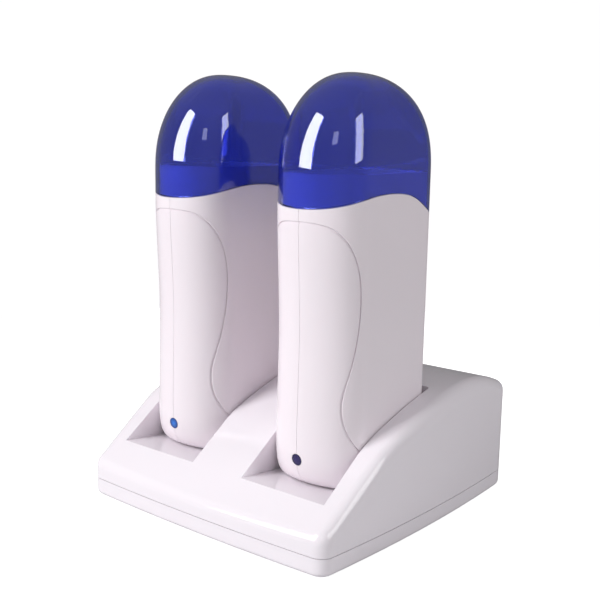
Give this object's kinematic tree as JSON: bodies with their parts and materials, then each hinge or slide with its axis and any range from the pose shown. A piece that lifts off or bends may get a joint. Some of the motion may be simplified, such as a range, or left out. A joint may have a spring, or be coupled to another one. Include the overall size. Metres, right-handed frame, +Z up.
{
  "type": "roll-on wax warmer",
  "caption": "Roll-on wax cartridge heaters with translucent domed caps, standing in the bays of a sloping docking base.",
  "frame": {"origin": "on the table under the middle of the docking base", "axes": "+Z up, +X to the object's right seen from the front, +Y towards the back; the heaters stand in the front half"},
  "size_m": [0.152, 0.1572, 0.2062],
  "materials": {
    "shell_white": "fine satin-gloss moulded ABS",
    "base_white": "glossy moulded ABS",
    "collar_white": "satin moulded plastic",
    "cap_blue": "polished translucent blue",
    "chamber_aluminium": "drawn and anodised",
    "element_ceramic": "matt fired ceramic",
    "mica": "layered mica sheet",
    "spring_steel": "rolled spring steel",
    "thermostat_steel": "pressed steel can",
    "lens_lit": "clear blue, lit",
    "lens_dark": "clear dark blue",
    "lamp_clear": "clear epoxy",
    "board_green": "solder-masked glass fibre board",
    "fitting_black": "heat-resistant moulding",
    "fitting_white": "heat-resistant moulding",
    "contact_brass": "nickel-free turned brass",
    "screw_steel": "zinc-plated",
    "foot_rubber": "soft matt rubber",
    "wire_sleeve": "woven glass sleeve",
    "wire_live": "smooth insulation",
    "wire_neutral": "smooth insulation"
  },
  "bodies": {
    "base": {"left_dock_post": "fitting_white", "left_dock_contacts": "contact_brass", "right_dock_post": "fitting_white", "right_dock_contacts": "contact_brass", "base_top_shell": "base_white", "base_bottom_tray": "base_white", "base_case_screws": "screw_steel", "base_feet": "foot_rubber", "mains_inlet": "fitting_black", "mains_inlet_pins": "contact_brass", "base_live_wires": "wire_live", "base_neutral_wires": "wire_neutral"},
    "left_heater": {"left_heater_left_shell": "shell_white", "left_heater_right_shell": "shell_white", "left_heater_shell_screws": "screw_steel", "left_heater_collar": "collar_white", "left_heater_chamber": "chamber_aluminium", "left_heater_heating_elements": "element_ceramic", "left_heater_mica_sheets": "mica", "left_heater_clamp_clip": "spring_steel", "left_heater_leaf_spring": "spring_steel", "left_heater_thermostat": "thermostat_steel", "left_heater_thermal_fuse": "spring_steel", "left_heater_indicator_lens": "lens_lit", "left_heater_indicator_lamp": "lamp_clear", "left_heater_lamp_board": "board_green", "left_heater_inlet_block": "fitting_black", "left_heater_inlet_pins": "contact_brass", "left_heater_wires": "wire_sleeve"},
    "right_heater": {"right_heater_left_shell": "shell_white", "right_heater_right_shell": "shell_white", "right_heater_shell_screws": "screw_steel", "right_heater_collar": "collar_white", "right_heater_chamber": "chamber_aluminium", "right_heater_heating_elements": "element_ceramic", "right_heater_mica_sheets": "mica", "right_heater_clamp_clip": "spring_steel", "right_heater_leaf_spring": "spring_steel", "right_heater_thermostat": "thermostat_steel", "right_heater_thermal_fuse": "spring_steel", "right_heater_indicator_lens": "lens_dark", "right_heater_indicator_lamp": "lamp_clear", "right_heater_lamp_board": "board_green", "right_heater_inlet_block": "fitting_black", "right_heater_inlet_pins": "contact_brass", "right_heater_wires": "wire_sleeve"},
    "left_cap": {"left_heater_cap": "cap_blue"},
    "right_cap": {"right_heater_cap": "cap_blue"}
  },
  "joints": [
    {"name": "left_heater_lift", "type": "slide", "parent": "base", "child": "left_heater", "axis": [0, 0, 1], "range_m": [0, 0.08]},
    {"name": "left_cap_lift", "type": "slide", "parent": "left_heater", "child": "left_cap", "axis": [0, 0, 1], "range_m": [0, 0.05]},
    {"name": "right_heater_lift", "type": "slide", "parent": "base", "child": "right_heater", "axis": [0, 0, 1], "range_m": [0, 0.08]},
    {"name": "right_cap_lift", "type": "slide", "parent": "right_heater", "child": "right_cap", "axis": [0, 0, 1], "range_m": [0, 0.05]}
  ]
}
